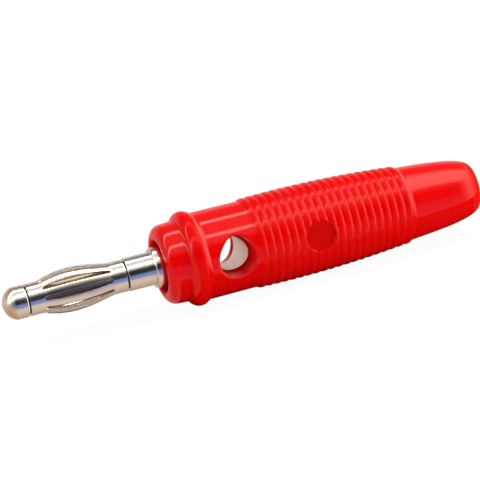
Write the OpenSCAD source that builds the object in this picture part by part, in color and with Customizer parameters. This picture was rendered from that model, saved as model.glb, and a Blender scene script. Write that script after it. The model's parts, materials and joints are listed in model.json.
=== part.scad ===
// Four millimetre banana plug with a lantern spring, a cross hole and a pull-back grip sleeve.
// The plug lies along X. The tip points to -X and the cable leaves at +X.
// The origin is on the plug's axis, at the front face of the sleeve's nose.

/* [Pin] */
// Diameter of the domed tip head
tip_d = 3.8; // [3.4:0.05:3.9]
// Length of the tip head, dome included
tip_length = 2.7; // [2.2:0.1:3.6]
// Height of the dome on the tip
tip_dome = 1.35; // [0.8:0.05:1.6]
// Diameter of the plain shank behind the spring
shank_d = 3.9; // [3.6:0.05:4]
// Length of the plain shank
shank_length = 3.2; // [2:0.05:6]
// Diameter of the stop ring that meets the socket
ring_d = 4.8; // [4.3:0.1:5.4]
// Length of the stop ring that stands out of the nose
ring_show = 0.9; // [0.6:0.05:3]
// Rounding of the stop ring's front edge
ring_round = 0.35; // [0.1:0.05:0.5]
// Bevel on the turned edges beside the spring
edge_break = 0.15; // [0.05:0.05:0.3]

/* [Lantern spring] */
// Length of the rolled spring
spring_length = 11.65; // [9:0.05:15]
// Length of the closed collar at each end of the spring
collar_length = 1.65; // [1:0.05:2.5]
// Outer diameter of the collars
collar_d = 3.76; // [3.4:0.02:3.8]
// Outer diameter of the leaves at their widest
bulge_d = 5.09; // [4.4:0.01:5.6]
// Place of the widest point, as a share of the leaf's length from its front
bulge_share = 0.44; // [0.35:0.01:0.6]
// Thickness of the sheet
sheet = 0.25; // [0.15:0.01:0.3]
// Number of leaves
leaf_count = 10; // [6:2:12]
// Width of a leaf
leaf_width = 0.8; // [0.5:0.05:0.9]
// Turn of the first leaf about the plug's axis, from -Y towards +Z
leaf_turn = 22; // [0:1:36]
// Distance from a collar to the round end of a slot
slot_inset = 0.05; // [0.03:0.01:0.3]
// Gap of the rolled seam
seam_gap = 0.16; // [0.05:0.01:0.3]

/* [Barrel] */
// Diameter of the barrel inside the sleeve
barrel_d = 5.7; // [5.5:0.1:6.4]
// Distance from the nose face to the barrel's front shoulder
barrel_inset = 2.4; // [1:0.1:4]
// Distance from the nose face to the barrel's rear face
barrel_end = 17; // [16.5:0.1:20]
// Diameter of the cross hole for a second plug
cross_d = 4; // [3.9:0.05:4.2]
// Distance from the nose face to the cross hole
cross_x = 8.05; // [7.9:0.01:8.4]
// Diameter of the wire hole in the barrel's rear face
wire_d = 2.4; // [1.6:0.1:2.6]
// Depth of the wire hole
wire_depth = 6.2; // [5:0.1:6.3]
// Drop of the wire hole below the plug's axis
wire_drop = 0.7; // [0.4:0.05:0.8]

/* [Clamp screw] */
// Diameter of the set screw
screw_d = 2.5; // [2:0.1:3]
// Distance from the barrel's rear face to the screw
screw_inset = 1.7; // [1.7:0.1:2.4]
// Width of the driver slot
slot_width = 0.45; // [0.3:0.05:0.6]
// Depth of the driver slot
slot_depth = 0.7; // [0.4:0.05:1]

/* [Sleeve nose] */
// Diameter of the nose at its front
nose_d = 9.4; // [9:0.1:10]
// Widening of the nose towards the flange
nose_flare = 0.14; // [0:0.02:0.4]
// Length of the nose in front of the flange
nose_length = 2.58; // [2:0.02:5]
// Rounding of the nose's front edge
nose_round = 1.2; // [0.6:0.1:1.6]
// Rounding of the mouth around the stop ring
mouth_round = 0.55; // [0.2:0.05:0.6]
// Diameter of the flange bead
flange_d = 11.22; // [10.8:0.02:12.4]
// Radius of the flange bead's round section
flange_round = 1.25; // [1:0.05:1.4]
// Diameter of the smooth section at the flange
smooth_d = 10.34; // [10:0.02:10.6]
// Narrowing of the smooth section towards the ribs
smooth_taper = 0.1; // [0:0.02:0.3]
// Length of the smooth section with the cross hole
smooth_length = 5.82; // [5.6:0.02:8]
// Diameter of the cross hole at the sleeve's surface
hole_mouth_d = 5; // [4.5:0.1:5.4]

/* [Sleeve grip] */
// Number of grip ribs
rib_count = 20; // [14:1:26]
// Distance from one rib to the next
rib_pitch = 0.97; // [0.9:0.01:1.05]
// Height of a rib above the groove
rib_depth = 0.16; // [0.1:0.01:0.2]
// Radius of a rib's rounded crest
rib_round = 0.8; // [0.7:0.01:1.2]
// Diameter over the first rib
grip_front_d = 10.64; // [10.4:0.02:11]
// Diameter that the grip swells towards in its front half
grip_swell_d = 11.24; // [10.8:0.02:11.6]
// Diameter over the last rib
grip_rear_d = 9.26; // [9:0.02:10]
// Diameter of the round thumb spot among the ribs
spot_d = 3.5; // [2.5:0.1:4]
// Depth of the thumb spot below the rib crests
spot_depth = 0.4; // [0.3:0.02:0.6]
// Distance from the first rib's front to the thumb spot
spot_inset = 7.5; // [5:0.1:12]

/* [Sleeve tail] */
// Diameter of the tail behind the last rib
tail_d = 8.78; // [8.4:0.02:9]
// Length of the tail
tail_length = 9.2; // [6:0.1:14]
// Narrowing of the tail's flank before its end curves in
tail_taper = 0.7; // [0.4:0.05:1.2]
// Diameter that the end of the tail curves in from
tail_corner_d = 7.38; // [6.8:0.02:7.8]
// Diameter of the flat lip around the cable hole
lip_d = 4.7; // [4.5:0.1:5.4]
// Diameter of the cable hole
cable_d = 4; // [3.9:0.1:4.2]

/* [Clearances] */
// Radial play between the spring's collars and the pin's core
spring_play = 0.05; // [0.02:0.01:0.1]
// Gap at each end of the spring
spring_end_gap = 0.2; // [0.1:0.05:0.4]
// Radial play between the barrel and the sleeve
sleeve_play = 0.05; // [0.02:0.01:0.1]
// Gap between the barrel's rear face and the sleeve's inner shoulder
shoulder_gap = 0.1; // [0.05:0.05:0.3]
// Radial play of the set screw in its hole
screw_play = 0.05; // [0.02:0.01:0.1]
// Gap between the set screw and the wire hole, and between its top and the barrel's surface
screw_sink = 0.08; // [0.05:0.01:0.15]
// Step of the sleeve's cross hole around the barrel's cross hole
hole_step = 0.1; // [0.05:0.05:0.2]

/* [Hidden] */
$fn = 96;
overcut = 1;
curve_steps = 24;
leaf_steps = 12;
slot_steps = 7;
slot_end_turns = [18 : 18 : 72];

// Stations along X, from the nose face to the tip
ring_front = -ring_show;
shank_front = ring_front - shank_length;
spring_rear = shank_front - spring_end_gap;
spring_front = spring_rear - spring_length;
tip_rear = spring_front - spring_end_gap;
tip_front = tip_rear - tip_length;
leaf_front = spring_front + collar_length;
leaf_rear = spring_rear - collar_length;

// Stations along X, from the nose face to the cable end
flange_x = nose_length + flange_round;
grip_front = nose_length + 2 * flange_round + smooth_length;
grip_rear = grip_front + rib_count * rib_pitch;
tail_end = grip_rear + tail_length;
spot_x = grip_front + spot_inset;
screw_x = barrel_end - screw_inset;

// Radii and heights that follow from the sizes above
core_r = collar_d / 2 - sheet - spring_play;
slot_foot = core_r / 2;
dome_r = (pow(tip_d / 2, 2) + pow(tip_dome, 2)) / (2 * tip_dome);
recess_r = barrel_d / 2 + sleeve_play;
wire_top = wire_d / 2 - wire_drop;
screw_tip = wire_top + screw_sink;
screw_top = sqrt(pow(barrel_d / 2, 2) - pow(screw_d / 2, 2)) - screw_sink;
leaf_step = 360 / leaf_count;
slot_end_r = slot_half_width(collar_d / 2);
slot_front = leaf_front + slot_end_r + slot_inset;
slot_rear = leaf_rear - slot_end_r - slot_inset;
spot_y = grip_radius(spot_x) - spot_depth;

// Point on a quadratic curve through three control points
function curve3(a, b, c, t) = pow(1 - t, 2) * a + 2 * (1 - t) * t * b + pow(t, 2) * c;

// Point on a cubic curve through four control points
function curve4(a, b, c, d, t) = (1 - t) * curve3(a, b, c, t) + t * curve3(b, c, d, t);

// Radius over the rib crests at a place along the grip
function grip_radius(x) =
    curve3(grip_front_d, grip_swell_d, grip_rear_d, (x - grip_front) / (grip_rear - grip_front)) / 2;

// Share of the bulge at a share s of the leaf's length: 0 at the collars and 1 at the widest point
function bulge(s) = sin(180 * pow(s, ln(0.5) / ln(bulge_share)));

// Outer radius of the spring sheet at a place along the leaves
function leaf_radius(x) =
    collar_d / 2 + (bulge_d - collar_d) / 2 * bulge((x - leaf_front) / (leaf_rear - leaf_front));

// Half the width of the open slot between two leaves at a radius
function slot_half_width(r) = r * sin(leaf_step / 2 - asin(leaf_width / 2 / r));

// Turns a half profile, drawn as radius and place along the axis, into a solid along X
module turned() {
    rotate([0, 90, 0]) rotate_extrude() children();
}

// Half profile of a plain turned bar
module bar(r, front, rear) {
    translate([0, front]) square([r, rear - front]);
}

// Half profile of a turned bar with a rounded front edge
module rounded_bar(r, front, rear, round) {
    bar(r, front + round, rear);
    bar(r - round, front, rear);
    translate([r - round, front + round]) intersection() {
        circle(round);
        translate([0, -round]) square(round);
    }
}

// Half profile of a turned bar with a bevelled end, or with both ends bevelled
module bevelled_bar(r, front, rear, front_bevel, rear_bevel) {
    front_edge = front_bevel > 0 ? [[r - front_bevel, front], [r, front + front_bevel]] : [[r, front]];
    rear_edge = rear_bevel > 0 ? [[r, rear - rear_bevel], [r - rear_bevel, rear]] : [[r, rear]];
    polygon(concat([[0, front]], front_edge, rear_edge, [[0, rear]]));
}

// Half profile of the domed tip head
module tip_profile() {
    intersection() {
        translate([0, tip_front + dome_r]) circle(dome_r);
        translate([0, tip_front]) square([tip_d / 2, tip_dome]);
    }
    bevelled_bar(tip_d / 2, tip_front + tip_dome, tip_rear, 0, edge_break);
}

// Round hole through the plug along Y
module cross_hole(d, reach) {
    translate([cross_x, 0, 0]) rotate([90, 0, 0]) cylinder(h = 2 * reach, d = d, center = true);
}

// The turned pin and barrel, drilled for the wire, the clamp screw and a second plug
module contact_body() {
    color("#cfc8bd")
    difference() {
        turned() {
            tip_profile();
            bar(core_r, tip_rear - overcut, shank_front + overcut);
            bevelled_bar(shank_d / 2, shank_front, ring_front + overcut, edge_break, 0);
            rounded_bar(ring_d / 2, ring_front, barrel_inset + overcut, ring_round);
            bevelled_bar(barrel_d / 2, barrel_inset, barrel_end, edge_break, edge_break);
        }
        cross_hole(cross_d, barrel_d);
        translate([barrel_end - wire_depth, 0, -wire_drop]) rotate([0, 90, 0])
            cylinder(h = wire_depth + overcut, d = wire_d);
        translate([screw_x, 0, -wire_drop])
            cylinder(h = barrel_d, r = screw_d / 2 + screw_play);
    }
}

// Half profile of the spring sheet: two straight collars with the bulged leaves between them
module sheet_profile() {
    leaf = [
        for (i = [0 : leaf_steps])
            let (x = leaf_front + i / leaf_steps * (leaf_rear - leaf_front))
            [leaf_radius(x), x]
    ];
    outer = concat([[collar_d / 2, spring_front]], leaf, [[collar_d / 2, spring_rear]]);
    inner = [for (i = [len(outer) - 1 : -1 : 0]) outer[i] - [sheet, 0]];
    polygon(concat(outer, inner));
}

// Turns its children about the plug's axis, from -Y towards +Z
module about_axis(angle) {
    rotate([90 - angle, 0, 0]) children();
}

// Open slot between two leaves: round at its ends, and wider over the bulge to keep the leaves' width
module leaf_slot() {
    front_end = [for (a = slot_end_turns) [slot_front - slot_end_r * cos(a), slot_end_r * sin(a)]];
    rear_end = [for (a = slot_end_turns) [slot_rear + slot_end_r * sin(a), slot_end_r * cos(a)]];
    middle = [
        for (i = [0 : slot_steps])
            let (x = slot_front + i / slot_steps * (slot_rear - slot_front))
            [x, slot_half_width(leaf_radius(x))]
    ];
    side = concat(front_end, middle, rear_end);
    other_side = [for (i = [len(side) - 1 : -1 : 0]) [side[i].x, -side[i].y]];
    linear_extrude(bulge_d) polygon(concat(side, other_side));
}

// The rolled spring: a slotted, bulged tube with an open seam in line with one slot
module lantern_spring() {
    color("#d6cfc4")
    difference() {
        turned() sheet_profile();
        for (i = [0 : leaf_count - 1])
            about_axis(leaf_turn + (i + 0.5) * leaf_step) translate([0, 0, slot_foot]) leaf_slot();
        about_axis(leaf_turn + 1.5 * leaf_step)
            translate([spring_front - overcut, -seam_gap / 2, slot_foot])
            cube([spring_length + 2 * overcut, seam_gap, bulge_d]);
    }
}

// The slotted set screw that clamps the wire
module clamp_screw() {
    color("#8d8a86")
    difference() {
        translate([screw_x, 0, screw_tip]) cylinder(h = screw_top - screw_tip, d = screw_d);
        translate([screw_x - slot_width / 2, -screw_d, screw_top - slot_depth])
            cube([slot_width, 2 * screw_d, slot_depth + overcut]);
    }
}

// Half profile of the nose, the flange bead and the smooth section
module nose_profile() {
    intersection() {
        rounded_bar(nose_d / 2 + nose_flare, 0, flange_x, nose_round);
        polygon([
            [0, 0],
            [nose_d / 2, 0],
            [nose_d / 2 + nose_flare / 2, nose_length],
            [nose_d / 2 + nose_flare / 2, flange_x],
            [0, flange_x],
        ]);
    }
    translate([0, flange_x]) intersection() {
        translate([flange_d / 2 - flange_round, 0]) circle(flange_round);
        translate([0, -flange_round]) square([flange_d, 2 * flange_round]);
    }
    translate([0, nose_length]) square([flange_d / 2 - flange_round, 2 * flange_round]);
    polygon([
        [0, flange_x],
        [smooth_d / 2, flange_x],
        [(smooth_d - smooth_taper) / 2, grip_front],
        [0, grip_front],
    ]);
}

// Half profile of the grip: a swelling core with a row of round-crested ribs
module grip_profile() {
    crest = [
        for (i = [0 : rib_count])
            let (x = grip_front + i * rib_pitch)
            [grip_radius(x) - rib_depth, x]
    ];
    polygon(concat([[0, grip_front]], crest, [[0, grip_rear]]));
    for (i = [0 : rib_count - 1]) {
        x = grip_front + (i + 0.5) * rib_pitch;
        translate([grip_radius(x) - rib_round, x]) intersection() {
            circle(rib_round);
            translate([-rib_round, -rib_pitch / 2]) square([2 * rib_round, rib_pitch]);
        }
    }
}

// Half profile of the tail, which curves in to the lip around the cable hole
module tail_profile() {
    shoulder = [tail_d / 2, grip_rear];
    flank = [(tail_d - tail_taper) / 2, grip_rear + tail_length / 2];
    corner = [tail_corner_d / 2, tail_end];
    lip = [lip_d / 2, tail_end];
    outline = [for (i = [0 : curve_steps]) curve4(shoulder, flank, corner, lip, i / curve_steps)];
    polygon(concat([[0, grip_rear]], outline, [[0, tail_end]]));
}

// Half profile of the sleeve's inside: rounded mouth, barrel recess and cable hole
module sleeve_bore_profile() {
    translate([0, -overcut]) square([recess_r, barrel_end + shoulder_gap + overcut]);
    translate([0, -overcut]) square([cable_d / 2, tail_end + 2 * overcut]);
    difference() {
        translate([0, -overcut]) square([recess_r + mouth_round, mouth_round + overcut]);
        translate([recess_r + mouth_round, mouth_round]) circle(mouth_round);
    }
}

// One flared half of the sleeve's cross hole, opening towards -Y
module flared_hole() {
    translate([cross_x, -recess_r, 0]) rotate([90, 0, 0])
        cylinder(h = flange_d / 2 - recess_r, d1 = cross_d + 2 * hole_step, d2 = hole_mouth_d);
}

// The soft moulded sleeve with its nose, flange, ribbed grip and tapered tail
module insulating_sleeve() {
    color("#e01012")
    difference() {
        turned() {
            nose_profile();
            grip_profile();
            tail_profile();
        }
        turned() sleeve_bore_profile();
        cross_hole(cross_d + 2 * hole_step, recess_r);
        flared_hole();
        mirror([0, 1, 0]) flared_hole();
        translate([spot_x, -spot_y, 0]) rotate([90, 0, 0]) cylinder(h = flange_d, d = spot_d);
    }
}

contact_body();
lantern_spring();
clamp_screw();
insulating_sleeve();
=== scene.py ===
# %% [markdown]
# # A four millimetre banana plug
# The object is a laboratory plug: a turned pin with a slotted spring around it, pushed into a soft red
# sleeve with a ribbed grip. The solids come from the CAD frame, and this lesson gives them their looks. The
# plug lies along X with its tip at -X, and the origin is at the front face of the sleeve's nose.

# %% Load the frame
import json
import math

import bmesh
import bpy
from mathutils import Matrix, Vector


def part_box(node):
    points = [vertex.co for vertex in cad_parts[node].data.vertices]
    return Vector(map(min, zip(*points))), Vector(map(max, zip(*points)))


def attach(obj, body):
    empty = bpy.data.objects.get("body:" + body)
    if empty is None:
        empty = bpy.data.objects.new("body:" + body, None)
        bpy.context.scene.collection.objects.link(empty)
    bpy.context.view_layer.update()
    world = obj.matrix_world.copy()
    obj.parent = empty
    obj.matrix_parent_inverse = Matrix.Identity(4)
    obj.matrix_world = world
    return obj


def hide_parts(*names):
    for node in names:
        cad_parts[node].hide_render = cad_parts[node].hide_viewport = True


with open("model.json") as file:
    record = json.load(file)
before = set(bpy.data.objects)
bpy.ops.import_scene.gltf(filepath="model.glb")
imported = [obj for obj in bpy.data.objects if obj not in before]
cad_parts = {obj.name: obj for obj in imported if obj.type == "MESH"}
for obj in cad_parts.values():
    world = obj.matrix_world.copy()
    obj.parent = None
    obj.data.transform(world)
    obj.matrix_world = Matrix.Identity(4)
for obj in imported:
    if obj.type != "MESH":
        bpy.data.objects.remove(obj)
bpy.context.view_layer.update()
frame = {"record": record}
MM = 0.001

# %% [markdown]
# ## Sizes that come from the frame
# Every piece has to sit exactly where its solid is, so the main stations along the axis are read from the
# solids' boxes and from the mounts. Only sizes that no box shows are written down as values.

# %% Stations along the axis
sleeve_low, sleeve_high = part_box("insulating_sleeve")
contact_low, contact_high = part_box("contact_body")
spring_low, spring_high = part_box("lantern_spring")
screw_low, screw_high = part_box("clamp_screw")
mounts = {mount["name"]: mount for mount in frame["record"]["mounts"]}

tip_front = contact_low.x
barrel_end = contact_high.x
barrel_r = contact_high.z
spring_front = spring_low.x
spring_rear = spring_high.x
tail_end = sleeve_high.x
flange_r = sleeve_high.z
cross_x = mounts["cross_bore"]["pos_m"][0]
cross_r = mounts["cross_bore"]["dims"]["r_mm"] * MM
wire_r = mounts["wire_hole"]["dims"]["r_mm"] * MM
wire_depth = mounts["wire_hole"]["dims"]["length_mm"] * MM
wire_z = mounts["wire_hole"]["pos_m"][2]
cable_r = mounts["cable_inlet"]["dims"]["r_mm"] * MM
print("pin %.1f mm, sleeve %.1f mm long" % (-tip_front / MM, tail_end / MM))

# %% [markdown]
# ## The camera
# The photograph looks at the plug from its tip side and from a little above the cross hole's axis, and the
# plug rises to the right. A long lens keeps the ribs nearly parallel. The camera is placed by its direction
# from the plug, then rolled about its own view so that the axis gets its slope. The frame is square.

# %% Place the camera
look_at = Vector((10 * MM, 0, 0))
axis_tilt = math.radians(15)
hole_drop = math.radians(14.2)
camera_distance = 350 * MM
pixels_per_metre = 8600
frame_pixels = 480
axis_pixel = (239.8, 245.75)
axis_slope = math.radians(14.4)
sensor = 36.0


def add_object(name, data):
    """Puts a new object with its data into the scene."""
    thing = bpy.data.objects.new(name, data)
    bpy.context.scene.collection.objects.link(thing)
    return thing


def aim(thing, right, up, back, distance):
    """Points a camera or a lamp at the plug. Back is the direction from the plug to it."""
    thing.matrix_world = Matrix((right, up, back)).transposed().to_4x4()
    thing.location = look_at + back * distance


to_camera = Vector((
    -math.sin(axis_tilt),
    -math.cos(axis_tilt) * math.cos(hole_drop),
    math.cos(axis_tilt) * math.sin(hole_drop),
))
along_axis = (Vector((1, 0, 0)) - to_camera * to_camera.x).normalized()
across_axis = to_camera.cross(along_axis)
camera_right = along_axis * math.cos(axis_slope) - across_axis * math.sin(axis_slope)
camera_up = along_axis * math.sin(axis_slope) + across_axis * math.cos(axis_slope)

camera_data = bpy.data.cameras.new("camera")
camera_data.sensor_width = sensor
camera_data.lens = sensor * pixels_per_metre * camera_distance / frame_pixels
camera_data.shift_x = (frame_pixels / 2 - axis_pixel[0]) / frame_pixels
camera_data.shift_y = (axis_pixel[1] - frame_pixels / 2) / frame_pixels
camera_data.clip_start = 10 * MM
camera_data.clip_end = 10
camera = add_object("camera", camera_data)
aim(camera, camera_right, camera_up, to_camera, camera_distance)
bpy.context.scene.camera = camera
print("lens %.0f mm at %.0f mm" % (camera_data.lens, camera_distance / MM))

# %% [markdown]
# ## Small tools for nodes
# Geometry trees and materials are both node trees. Their inputs are fed in one way: a link where the value
# is another node's socket, and a plain number on the socket itself where it isn't. A constant on the socket
# also survives an export, which a constant that comes through a link may not.


# %% Node helpers
def feed(tree, socket, value):
    """Feeds one input with a link or a plain value. None leaves it alone."""
    if isinstance(value, bpy.types.NodeSocket):
        tree.links.new(value, socket)
    elif value is not None:
        socket.default_value = value


def fill(tree, node, values):
    """Feeds a node's inputs by their names."""
    for name, value in values.items():
        feed(tree, node.inputs[name], value)


def add_node(tree, kind, *inputs, **options):
    """Adds a node, sets its options, feeds its inputs in order and gives the node back."""
    node = tree.nodes.new(kind)
    for name, value in options.items():
        setattr(node, name, value)
    for socket, value in zip([socket for socket in node.inputs if socket.enabled], inputs):
        feed(tree, socket, value)
    return node


def output_of(node):
    """The first output of a node that is switched on."""
    return next(socket for socket in node.outputs if socket.enabled)


def math_node(tree, operation, *inputs):
    """The result of one Math node."""
    return output_of(add_node(tree, "ShaderNodeMath", *inputs, operation=operation))


def combine(tree, operation, *values):
    """The result of one operation over several values in turn."""
    result = values[0]
    for value in values[1:]:
        result = math_node(tree, operation, result, value)
    return result


def between(tree, value, low, high):
    """A mask that is 1 where a value lies between two others."""
    above = math_node(tree, "GREATER_THAN", value, low)
    return math_node(tree, "MULTIPLY", above, math_node(tree, "LESS_THAN", value, high))


def vector_node(tree, operation, *inputs):
    """The result of one Vector Math node."""
    return output_of(add_node(tree, "ShaderNodeVectorMath", *inputs, operation=operation))


def vector_of(tree, x, y, z):
    """A vector from its three parts."""
    return output_of(add_node(tree, "ShaderNodeCombineXYZ", x, y, z))


def parts_of(tree, vector):
    """The three parts of a vector."""
    return add_node(tree, "ShaderNodeSeparateXYZ", vector).outputs


def new_group(name, kind, inputs, outputs):
    """An empty node group with named sockets, along with what it is given and its end node."""
    group = bpy.data.node_groups.new(name, kind)
    for in_out, sockets in (("INPUT", inputs), ("OUTPUT", outputs)):
        for label, socket in sockets.items():
            group.interface.new_socket(name=label, in_out=in_out, socket_type="NodeSocket" + socket)
    return group, group.nodes.new("NodeGroupInput").outputs, group.nodes.new("NodeGroupOutput")


print("node helpers ready")

# %% [markdown]
# ## Shared surface effects
# Two finishes show on more than one piece. Turned and rolled metal carries fine lines around the axis, and
# every handled surface has faint smudges where it shines less. Each is a small node group that puts out
# only a height or a mask, so that the shader itself stays in the material.


# %% Turning lines and smudges
def turning_lines():
    """Fine lines around the X axis: noise that changes along X only."""
    group, given, result = new_group(
        "Turning lines", "ShaderNodeTree", {"Lines per metre": "Float"}, {"Height": "Float"}
    )
    place = add_node(group, "ShaderNodeTexCoord").outputs["Object"]
    along = math_node(group, "MULTIPLY", parts_of(group, place)["X"], given["Lines per metre"])
    noise = add_node(group, "ShaderNodeTexNoise", noise_dimensions="1D")
    fill(group, noise, {"W": along, "Scale": 1.0, "Detail": 3.0})
    fill(group, result, {"Height": noise.outputs["Fac"]})
    return group


def smudges():
    """Soft uneven patches where fingers have dulled the shine."""
    group, given, result = new_group(
        "Smudges", "ShaderNodeTree", {"Patches per metre": "Float", "Contrast": "Float"}, {"Mask": "Float"}
    )
    place = add_node(group, "ShaderNodeTexCoord").outputs["Object"]
    noise = add_node(group, "ShaderNodeTexNoise")
    fill(group, noise, {
        "Vector": place, "Scale": given["Patches per metre"], "Detail": 4.0, "Roughness": 0.6,
    })
    centred = math_node(group, "SUBTRACT", noise.outputs["Fac"], 0.5)
    stretched = math_node(group, "MULTIPLY", centred, given["Contrast"])
    mask = add_node(group, "ShaderNodeMath", stretched, 0.5, operation="ADD", use_clamp=True)
    fill(group, result, {"Mask": output_of(mask)})
    return group


TURNING_LINES = turning_lines()
SMUDGES = smudges()
print("shared effects:", TURNING_LINES.name, "and", SMUDGES.name)

# %% [markdown]
# ## Tools for materials
# A finish changes from place to place: a bore is duller than a shank, and a worn edge shows another metal.
# So most of a material here is masks from 0 to 1, which say where something is, and mixes that use them.
# The masks read Object coordinates, which stay with the piece when it moves.


# %% Material helpers
def new_material(name):
    """A material with an empty tree, its Principled shader and its output."""
    material = bpy.data.materials.new(name)
    material.use_nodes = True
    tree = material.node_tree
    tree.nodes.clear()
    shader = tree.nodes.new("ShaderNodeBsdfPrincipled")
    add_node(tree, "ShaderNodeOutputMaterial", shader.outputs["BSDF"])
    return material, tree, shader


def place_group(tree, group, settings):
    """Places a shared effect in a material with its own values."""
    node = add_node(tree, "ShaderNodeGroup", node_tree=group)
    fill(tree, node, settings)
    return output_of(node)


def mix_colour(tree, share, first, second, **options):
    """Mixes two colours by a share from 0 to 1."""
    return output_of(add_node(tree, "ShaderNodeMix", share, first, second, data_type="RGBA", **options))


def map_range(tree, value, low, high, to_low, to_high):
    """Maps a value from one range to another, held at the ends."""
    return output_of(add_node(tree, "ShaderNodeMapRange", value, low, high, to_low, to_high))


def strongest(tree, *masks):
    """The largest of several masks, each times its own amount."""
    scaled = [math_node(tree, "MULTIPLY", mask, amount) for mask, amount in masks]
    return combine(tree, "MAXIMUM", *scaled)


def length_of(tree, x, y, z):
    """The length of a vector from its three parts."""
    return vector_node(tree, "LENGTH", vector_of(tree, x, y, z))


def round_mask(tree, place, centre_x, radius):
    """A mask, with a soft edge, for all that lies within a radius of a line along Y."""
    soft_edge = 0.1 * MM
    x, _, z = parts_of(tree, place)
    distance = length_of(tree, math_node(tree, "SUBTRACT", x, centre_x), 0.0, z)
    return map_range(tree, distance, radius, radius + soft_edge, 1.0, 0.0)


def bump(tree, shader, height, strength, distance):
    """Tilts the shader's normal by a height."""
    node = add_node(tree, "ShaderNodeBump")
    fill(tree, node, {"Strength": strength, "Distance": distance, "Height": height})
    fill(tree, shader, {"Normal": node.outputs["Normal"]})


print("material helpers ready")

# %% [markdown]
# ## Nickel plate
# The pin and the spring are plated with bright nickel, a warm white metal. It mirrors its surroundings, so
# its look is mostly reflection: the smudges lift the roughness and darken the colour a little, and the
# turning lines tilt the surface very slightly. A perfect mirror would look too clean, so some roughness is
# left.

# %% Spring's nickel
NICKEL = (0.80, 0.765, 0.715, 1)
NICKEL_DULL = (0.76, 0.72, 0.66, 1)
POLISH = 0.13
POLISH_DULL = 0.23
line_depth = 0.004 * MM


def nickel_plate(name, line_strength, lines_per_metre):
    """Bright nickel with turning lines, along with its shader and its smudged colour and roughness."""
    material, tree, shader = new_material(name)
    dull = place_group(tree, SMUDGES, {"Patches per metre": 420.0, "Contrast": 2.2})
    colour = mix_colour(tree, dull, NICKEL, NICKEL_DULL)
    rough = map_range(tree, dull, 0.0, 1.0, POLISH, POLISH_DULL)
    lines = place_group(tree, TURNING_LINES, {"Lines per metre": lines_per_metre})
    bump(tree, shader, lines, line_strength, line_depth)
    fill(tree, shader, {"Metallic": 1.0, "Base Color": colour, "Roughness": rough})
    return material, shader, colour, rough


spring_nickel = nickel_plate("spring nickel", 0.03, 6000.0)[0]
print("spring's metal:", spring_nickel.name)

# %% [markdown]
# ## The pin's wear, painted reflection and painted shade
# The pin has the same plate, with three places where it differs. Use has scuffed the dome, and on its
# shoulder the plate is worn through to yellow brass. The drilled bore keeps the drill's marks, so it is
# duller, and it is tinted pink as a painted reflection of the red walls around it. The core under the
# spring is painted dark as painted shade, darkest under the collars and in the gaps at the spring's ends.
# Each place is a mask along the axis or around it, because the pin is a turned shape.

# %% Pin's nickel
BRASS = (0.74, 0.56, 0.28, 1)
# BORE_PINK_REFLECTION is painted reflection: nickel tinted pink for the red sleeve walls that the bore
# mirrors.
BORE_PINK_REFLECTION = (0.90, 0.76, 0.73, 1)
# CORE_PAINTED_SHADE and GAP_PAINTED_SHADE are painted shade: dark colours for the core under the spring and
# the gaps at its ends.
CORE_PAINTED_SHADE = (0.36, 0.28, 0.22, 1)
GAP_PAINTED_SHADE = (0.10, 0.07, 0.05, 1)
core_r = 1.58 * MM
core_margin = 0.04 * MM
gap_reach = 0.25 * MM
collar_length = 1.65 * MM


def pin_plate(name):
    """The pin's nickel: scuffed and worn at the tip, dull and pink with painted reflection in the bore, and
    dark with painted shade under the spring.
    """
    material, shader, colour, rough = nickel_plate(name, 0.04, 14000.0)
    tree = material.node_tree
    place = add_node(tree, "ShaderNodeTexCoord").outputs["Object"]
    x, y, z = parts_of(tree, place)
    from_tip = math_node(tree, "SUBTRACT", x, tip_front)

    on_dome = map_range(tree, from_tip, 1.1 * MM, 1.5 * MM, 1.0, 0.0)
    past_top = map_range(tree, from_tip, 0.2 * MM, 0.5 * MM, 0.0, 1.0)
    on_shoulder = map_range(tree, from_tip, 1.0 * MM, 1.4 * MM, 1.0, 0.0)
    patches = place_group(tree, SMUDGES, {"Patches per metre": 900.0, "Contrast": 6.0})
    worn = combine(tree, "MULTIPLY", past_top, on_shoulder, patches)
    in_bore = round_mask(tree, place, cross_x, cross_r)
    on_core = math_node(tree, "LESS_THAN", length_of(tree, 0.0, y, z), core_r + core_margin)
    in_spring = between(tree, x, spring_front - gap_reach, spring_rear + gap_reach)
    hidden = math_node(tree, "MULTIPLY", on_core, in_spring)
    under_leaves = between(tree, x, spring_front + collar_length, spring_rear - collar_length)

    colour = mix_colour(tree, worn, colour, BRASS)
    # Painted reflection: the bore's nickel is tinted pink for the red walls around it.
    colour = mix_colour(tree, in_bore, colour, BORE_PINK_REFLECTION)
    # Painted shade: the core under the spring is painted dark, darkest under the collars and in the gaps
    # beside the spring's ends.
    colour = mix_colour(tree, hidden, colour, mix_colour(tree, under_leaves, GAP_PAINTED_SHADE, CORE_PAINTED_SHADE))
    unpolished = strongest(tree, (in_bore, 0.36), (hidden, 0.36), (on_dome, 0.28))
    rough = math_node(tree, "MAXIMUM", rough, unpolished)
    fill(tree, shader, {"Base Color": colour, "Roughness": rough})
    return material


pin_nickel = pin_plate("pin nickel")
print("pin's metal:", pin_nickel.name)

# %% [markdown]
# ## The screw's steel
# The clamp screw is zinc-plated steel, greyer and duller than the nickel. It is hidden until the sleeve is
# pulled back, so the smudges are enough, and turning lines would not be noticed.

# %% Screw's steel
STEEL = (0.52, 0.51, 0.49, 1)
STEEL_DULL = (0.44, 0.43, 0.41, 1)


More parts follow.
